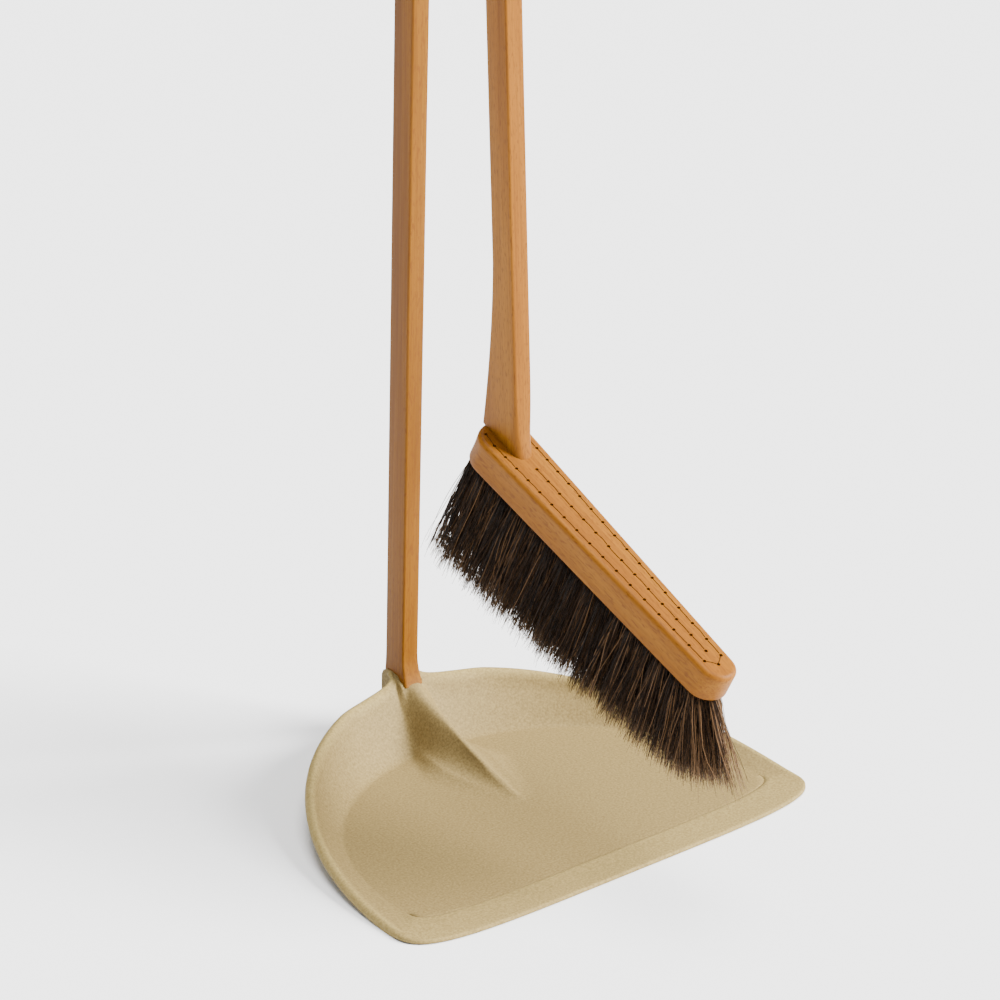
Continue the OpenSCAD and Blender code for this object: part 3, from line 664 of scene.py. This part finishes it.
# ---------------------------------------------------------------- hair
HAIRS, LOCKS, HAIR_STEPS, HAIR_SIDES = 228, 7, 9, 3
# how far the hairs of the tip fan out beyond the block, and the length over which that fades
FAN, FAN_L = 38.0, 21.0
STRAY_SHARE = 0.08


def tuft_hairs(x, y, row):
    """Roots, tips and added lightness of one tuft's hairs, bundled in locks."""
    crowd = int(HAIRS * (0.97 if row else 1.15) * (1 + 0.45 * math.exp(-(y - END_DOT) / 14)))
    locks = rng.normal(size=(LOCKS, 2)) * np.array([2.2, 2.6])
    which = rng.integers(0, LOCKS, crowd)
    q = rng.uniform(0, 2 * math.pi, crowd)
    rad = np.sqrt(rng.uniform(0, 1, crowd))
    px = x + 3.0 * rad * np.cos(q)
    py = y + 4.6 * rad * np.sin(q)
    share = np.clip((py - TIP_Y) / (HEEL_Y - TIP_Y), 0, 1)
    edge = mix(TIP_R, HEEL_R, share)
    tip_x = px * (1.3 + 0.2 * share) + locks[which, 0] * 0.9 + rng.normal(size=crowd) * 1.7
    tip_x = np.clip(tip_x, -edge - 8.5, edge + 8.5)
    fan = np.exp(-(py + 8.0) / FAN_L) * rng.uniform(0.25, 1.05, crowd)
    tip_y = py + locks[which, 1] - fan * FAN + rng.normal(size=crowd) * 2.4
    tip_y = tip_y + 7.0 * np.clip((py - HEEL_Y) / 12.0, 0, 1) * rng.uniform(0.2, 1, crowd)
    length = mix(HAIR_TIP, HAIR_HEEL, share ** 0.9)
    lock_len = rng.uniform(0.96, 1.02, LOCKS)
    long = length * lock_len[which] * (1.01 - np.abs(rng.normal(size=crowd)) * 0.04) * (1 - 0.42 * fan ** 2)
    stray = rng.uniform(size=crowd) < STRAY_SHARE
    tip_x = tip_x + stray * rng.normal(size=crowd) * 3.0
    tip_y = tip_y + stray * rng.normal(size=crowd) * 6.0
    long = np.minimum(long * (1 + stray * 0.03), length * 1.04)
    root = np.stack([px, py, np.full(crowd, -BLOCK_T + 0.6)], 1)
    return root, np.stack([tip_x, tip_y, -BLOCK_T - long], 1), 0.34 * np.clip(fan, 0, 1) + 0.1 * stray


def hair_mesh(name, row):
    """Thin three-sided hairs from each tuft of one row, waved and bowed, with two values for their colour."""
    root, head, light = (np.concatenate(part) for part in zip(*[tuft_hairs(x, y, row) for x, y in dots[row]]))
    count = len(root)
    wave = rng.normal(size=(count, 2)) * 1.15
    phase = rng.uniform(0, 2 * math.pi, (count, 2))
    turns = rng.uniform(0.6, 1.5, (count, 2)) * 2 * math.pi
    bow = rng.normal(size=(count, 2)) * 2.4
    reach = np.linspace(0, 1, HAIR_STEPS)
    t = reach[None, :, None]
    path = root[:, None] + (head - root)[:, None] * t
    path[:, :, :2] += (head - root)[:, None, :2] * (t ** 1.7 - t) * 0.15
    path[:, :, :2] += wave[:, None] * np.sin(turns[:, None] * t + phase[:, None]) * (t * (1.2 - 0.5 * t))
    path[:, :, :2] += bow[:, None] * (t * (1 - t)) * 1.6
    thick = rng.uniform(0.15, 0.27, (count, 1)) * (1 - 0.62 * reach[None, :] ** 2.2)
    turn = rng.uniform(0, 2 * math.pi, count)
    corners = []
    for k in range(HAIR_SIDES):
        q = turn + k * 2 * math.pi / HAIR_SIDES
        off = np.stack([np.cos(q), np.sin(q), np.zeros(count)], 1)
        corners.append(path + off[:, None] * thick[:, :, None])
    points = np.stack(corners, 2).reshape(-1, 3)
    ends = np.arange(count)[:, None] * HAIR_STEPS * HAIR_SIDES
    base = ends[:, :, None] + np.arange(HAIR_STEPS - 1)[None, :, None] * HAIR_SIDES
    k = np.arange(HAIR_SIDES)[None, None, :]
    k2 = (k + 1) % HAIR_SIDES
    quads = np.stack([base + k, base + k2, base + k2 + HAIR_SIDES, base + k + HAIR_SIDES], -1).reshape(-1, 4)
    last = ends + (HAIR_STEPS - 1) * HAIR_SIDES
    caps = np.concatenate([ends + np.array([[2, 1, 0]]), last + np.array([[0, 1, 2]])])
    vertex_index = np.concatenate([quads.ravel(), caps.ravel()]).astype(np.int32)
    starts = np.concatenate([np.arange(len(quads)) * 4, len(quads) * 4 + np.arange(len(caps)) * 3])
    mesh = bpy.data.meshes.new(name)
    mesh.vertices.add(len(points))
    mesh.vertices.foreach_set("co", to_metres(points, BLOCK).astype(np.float32).ravel())
    mesh.loops.add(len(vertex_index))
    mesh.loops.foreach_set("vertex_index", vertex_index)
    mesh.polygons.add(len(starts))
    mesh.polygons.foreach_set("loop_start", starts.astype(np.int32))
    mesh.polygons.foreach_set("use_smooth", [True] * len(starts))
    mesh.update(calc_edges=True)
    mesh.validate()
    along = np.repeat(np.tile(reach, count), HAIR_SIDES)
    own = np.repeat(np.clip(rng.uniform(0, 1, count) + light, 0, 1), HAIR_STEPS * HAIR_SIDES)
    for label, values in (("along", along), ("own", own)):
        values_layer = mesh.attributes.new(label, "FLOAT", "POINT")
        values_layer.data.foreach_set("value", values.astype(np.float32))
    obj = bpy.data.objects.new(name, mesh)
    bpy.context.scene.collection.objects.link(obj)
    return obj


hair_pieces = []
for row, node in ((-1, "tufts_left"), (0, "tufts_middle"), (1, "tufts_right")):
    piece = hair_mesh("hair_" + node.split("_")[1], row)
    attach(piece, "brush")
    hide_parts(node)
    hair_pieces.append(piece)


# ---------------------------------------------------------------- materials
class Nodes:
    """Small helper that builds one material's node tree."""

    def __init__(self, name, rough, metallic=0.0, specular=0.5):
        self.mat = bpy.data.materials.new(name)
        self.mat.use_nodes = True
        self.tree = self.mat.node_tree
        self.shader = self.tree.nodes["Principled BSDF"]
        for label, value in (("Roughness", rough), ("Metallic", metallic), ("Specular IOR Level", specular)):
            self.shader.inputs[label].default_value = value
        self.coord = self.tree.nodes.new("ShaderNodeTexCoord").outputs["Object"]

    def link(self, a, b):
        self.tree.links.new(a, b)

    def attribute(self, label):
        node = self.tree.nodes.new("ShaderNodeAttribute")
        node.attribute_name = label
        return node.outputs["Fac"]

    def turned(self, turn):
        node = self.tree.nodes.new("ShaderNodeVectorRotate")
        node.rotation_type = "X_AXIS"
        node.inputs["Angle"].default_value = turn
        self.link(self.coord, node.inputs["Vector"])
        return node.outputs["Vector"]

    def scaled(self, vector, scale):
        node = self.tree.nodes.new("ShaderNodeVectorMath")
        node.operation = "MULTIPLY"
        node.inputs[1].default_value = scale
        self.link(vector, node.inputs[0])
        return node.outputs["Vector"]

    def noise(self, vector, scale, detail=3.0, rough=0.5, distort=0.0):
        node = self.tree.nodes.new("ShaderNodeTexNoise")
        node.inputs["Scale"].default_value = scale
        node.inputs["Detail"].default_value = detail
        node.inputs["Roughness"].default_value = rough
        node.inputs["Distortion"].default_value = distort
        self.link(vector, node.inputs["Vector"])
        return node.outputs["Fac"]

    def ramp(self, value, stops):
        node = self.tree.nodes.new("ShaderNodeValToRGB")
        ramp = node.color_ramp
        while len(ramp.elements) < len(stops):
            ramp.elements.new(0.5)
        for e, (at, col) in zip(ramp.elements, stops):
            e.position, e.color = at, col
        self.link(value, node.inputs["Fac"])
        return node.outputs["Color"]

    def blend(self, factor, a, b, kind="MIX"):
        node = self.tree.nodes.new("ShaderNodeMix")
        node.data_type, node.blend_type = "RGBA", kind
        for value, socket in ((factor, node.inputs[0]), (a, node.inputs[6]), (b, node.inputs[7])):
            if isinstance(value, bpy.types.NodeSocket):
                self.link(value, socket)
            else:
                socket.default_value = value
        return node.outputs[2]

    def bump(self, height, strength, distance):
        node = self.tree.nodes.new("ShaderNodeBump")
        node.inputs["Strength"].default_value = strength
        node.inputs["Distance"].default_value = distance
        self.link(height, node.inputs["Height"])
        self.link(node.outputs["Normal"], self.shader.inputs["Normal"])

    def colour(self, value):
        if isinstance(value, bpy.types.NodeSocket):
            self.link(value, self.shader.inputs["Base Color"])
        else:
            self.shader.inputs["Base Color"].default_value = value


BLACK, WHITE, GREY = (0, 0, 0, 1), (1, 1, 1, 1), (0.5, 0.5, 0.5, 1)


def coat_material():
    """Fine matt powder coat with a speckle, with painted light: lighter and yellower along the pan's rim, walls
    and lip.
    """
    n = Nodes("powder_coat", 0.62, specular=0.12)
    fine = n.noise(n.coord, 800, 2, 0.6)
    broad = n.noise(n.coord, 9, 3, 0.5)
    # painted light: the edge share blends in a lighter, yellower coat on rim, walls and lip
    base = n.blend(n.attribute("edge"), (0.256, 0.184, 0.069, 1), (0.335, 0.249, 0.090, 1))
    base = n.blend(0.5, base, n.ramp(fine, [(0.3, (0.3, 0.26, 0.2, 1)), (0.7, WHITE)]), "MULTIPLY")
    n.colour(n.blend(0.05, base, n.ramp(broad, [(0.3, (0.75, 0.7, 0.6, 1)), (0.7, WHITE)]), "MULTIPLY"))
    n.bump(fine, 0.2, 0.0004)
    return n.mat


def wood_material(name, tilt, dark, mid, light):
    """Beech with its grain along the piece: soft bands, thin lines and short dark rays."""
    n = Nodes(name, 0.5, specular=0.12)
    v = n.turned(tilt)
    bands = n.noise(n.scaled(v, (60, 55, 2.2)), 1.0, 4, 0.55, 0.35)
    lines = n.noise(n.scaled(v, (900, 800, 14)), 1.0, 3, 0.6)
    rays = n.noise(n.scaled(v, (1300, 1300, 240)), 1.0, 1, 0.4)
    base = n.ramp(bands, [(0.28, dark), (0.5, mid), (0.72, light)])
    base = n.blend(0.28, base, n.ramp(lines, [(0.35, (0.3, 0.2, 0.12, 1)), (0.6, WHITE)]), "MULTIPLY")
    rays = n.ramp(rays, [(0.33, (0.7, 0.7, 0.7, 1)), (0.43, BLACK)])
    n.colour(n.blend(rays, base, (0.13, 0.042, 0.004, 1)))
    n.bump(lines, 0.15, 0.0004)
    return n.mat


def hair_material():
    """Horsehair: each hair has its own brown and is lighter at its tip, with a painted shade that darkens it
    towards its root.
    """
    n = Nodes("horsehair", 0.42, specular=0.08)
    along, own = n.attribute("along"), n.attribute("own")
    body = n.ramp(own, [(0.0, (0.005, 0.0024, 0.001, 1)), (0.5, (0.014, 0.0068, 0.0027, 1)),
                        (0.82, (0.034, 0.0165, 0.0068, 1)), (1.0, (0.17, 0.092, 0.042, 1))])
    tip = n.ramp(own, [(0.0, (0.022, 0.011, 0.0045, 1)), (0.6, (0.065, 0.034, 0.014, 1)),
                       (1.0, (0.23, 0.14, 0.072, 1))])
    share = n.ramp(along, [(0.72, BLACK), (1.0, (0.75, 0.75, 0.75, 1))])
    # painted shade: each hair darkens over its first quarter, towards the block
    shade = n.ramp(along, [(0.0, (0.35, 0.33, 0.3, 1)), (0.25, WHITE)])
    n.colour(n.blend(1.0, n.blend(share, body, tip), shade, "MULTIPLY"))
    return n.mat


def metal_material(name, colour, rough):
    """Plain metal with a faint grain."""
    n = Nodes(name, rough, metallic=1.0)
    fine = n.noise(n.coord, 900, 2, 0.5)
    n.colour(n.blend(0.12, colour, n.ramp(fine, [(0.3, GREY), (0.7, WHITE)]), "MULTIPLY"))
    n.bump(fine, 0.05, 0.0002)
    return n.mat


powder = coat_material()
WOOD = ((0.14, 0.043, 0.003, 1), (0.222, 0.079, 0.005, 1), (0.285, 0.115, 0.010, 1))
PAN_WOOD = ((0.112, 0.037, 0.002, 1), (0.172, 0.062, 0.003, 1), (0.22, 0.088, 0.005, 1))
QUARTER = math.radians(90)
wood_pan = wood_material("beech_pan_handle", -STICK_LEAN, *PAN_WOOD)
wood_brush = wood_material("beech_brush_handle", BRUSH_LEAN, *WOOD)
wood_block = wood_material("beech_block", -PITCH - QUARTER, *WOOD)
wood_turned = wood_material("turned_beech", BRUSH_LEAN - QUARTER, *PAN_WOOD)
screw_steel = metal_material("screw_steel", (0.3, 0.3, 0.29, 1), 0.34)
pin_steel = metal_material("pin_steel", (0.34, 0.34, 0.335, 1), 0.22)
wire_metal = metal_material("drawing_wire", (0.05, 0.022, 0.008, 1), 0.5)
horsehair = hair_material()


def paint(obj, material):
    obj.data.materials.clear()
    obj.data.materials.append(material)


for obj, material in ((pan, powder), (pan_handle, wood_pan), (brush_handle, wood_brush), (block, wood_block)):
    paint(obj, material)
for obj in hair_pieces:
    paint(obj, horsehair)
for obj in wires:
    paint(obj, wire_metal)

# the pieces that keep their CAD shape get a material and slightly rounded edges
for node, material, bevel in (
        ("handle_socket", powder, 0.35), ("socket_screws", screw_steel, 0.12),
        ("foot_screw", screw_steel, 0.12), ("handle_dowels", wood_turned, 0.2),
        ("block_screw", screw_steel, 0.12), ("hanging_pin", pin_steel, 0.4),
        ("pin_spacer", wood_turned, 0.5), ("pin_knob", wood_turned, 0.5)):
    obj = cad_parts[node]
    paint(obj, material)
    round_off = obj.modifiers.new("edge", "BEVEL")
    round_off.width = bevel * MM
    round_off.segments = 3
    round_off.limit_method = "ANGLE"
    round_off.angle_limit = math.radians(40)
    round_off.use_clamp_overlap = True

# ---------------------------------------------------------------- floor, light and camera
FLOOR_HALF = 8
floor_mesh = bpy.data.meshes.new("floor")
corners = ((-1, -1), (1, -1), (1, 1), (-1, 1))
floor_mesh.from_pydata([(x * FLOOR_HALF, y * FLOOR_HALF, 0) for x, y in corners], [], [(0, 1, 2, 3)])
floor = bpy.data.objects.new("floor", floor_mesh)
bpy.context.scene.collection.objects.link(floor)
floor.location.z = -0.0002
pale = Nodes("pale_floor", 0.9, specular=0.1)
pale.colour((0.93, 0.93, 0.93, 1))
floor.data.materials.append(pale.mat)

world = bpy.data.worlds.new("studio")
world.use_nodes = True
world.node_tree.nodes["Background"].inputs["Color"].default_value = WHITE
world.node_tree.nodes["Background"].inputs["Strength"].default_value = 0.5
bpy.context.scene.world = world


def sun(name, direction, spread, strength):
    """A sun lamp that shines from direction, with its disc's angle in degrees."""
    data = bpy.data.lights.new(name, "SUN")
    data.angle = math.radians(spread)
    data.energy = strength
    obj = bpy.data.objects.new(name, data)
    obj.location = Vector(direction).normalized() * 3
    obj.rotation_euler = Vector(direction).to_track_quat("Z", "Y").to_euler()
    bpy.context.scene.collection.objects.link(obj)


sun("key", (0.66, -0.72, 0.56), 30, 14.5)
sun("overhead", (0.08, 0.0, 1.0), 36, 4.0)

# the photo's viewing angle
AIM, DISTANCE = Vector((0.0275, 0.0726, 0.1520)), 1.502
AZIMUTH, ELEVATION, ROLL = math.radians(-38.02), math.radians(21.85), math.radians(-0.26)
back = Vector((math.sin(AZIMUTH) * math.cos(ELEVATION), -math.cos(AZIMUTH) * math.cos(ELEVATION),
               math.sin(ELEVATION)))
lens = bpy.data.cameras.new("camera")
lens.lens = 100.97
lens.sensor_width = 36.0
lens.clip_end = 50
camera = bpy.data.objects.new("camera", lens)
camera.location = AIM + back * DISTANCE
camera.rotation_euler = (back.to_track_quat("Z", "Y").to_matrix() @ Matrix.Rotation(ROLL, 3, "Z")).to_euler()
bpy.context.scene.collection.objects.link(camera)
bpy.context.scene.camera = camera
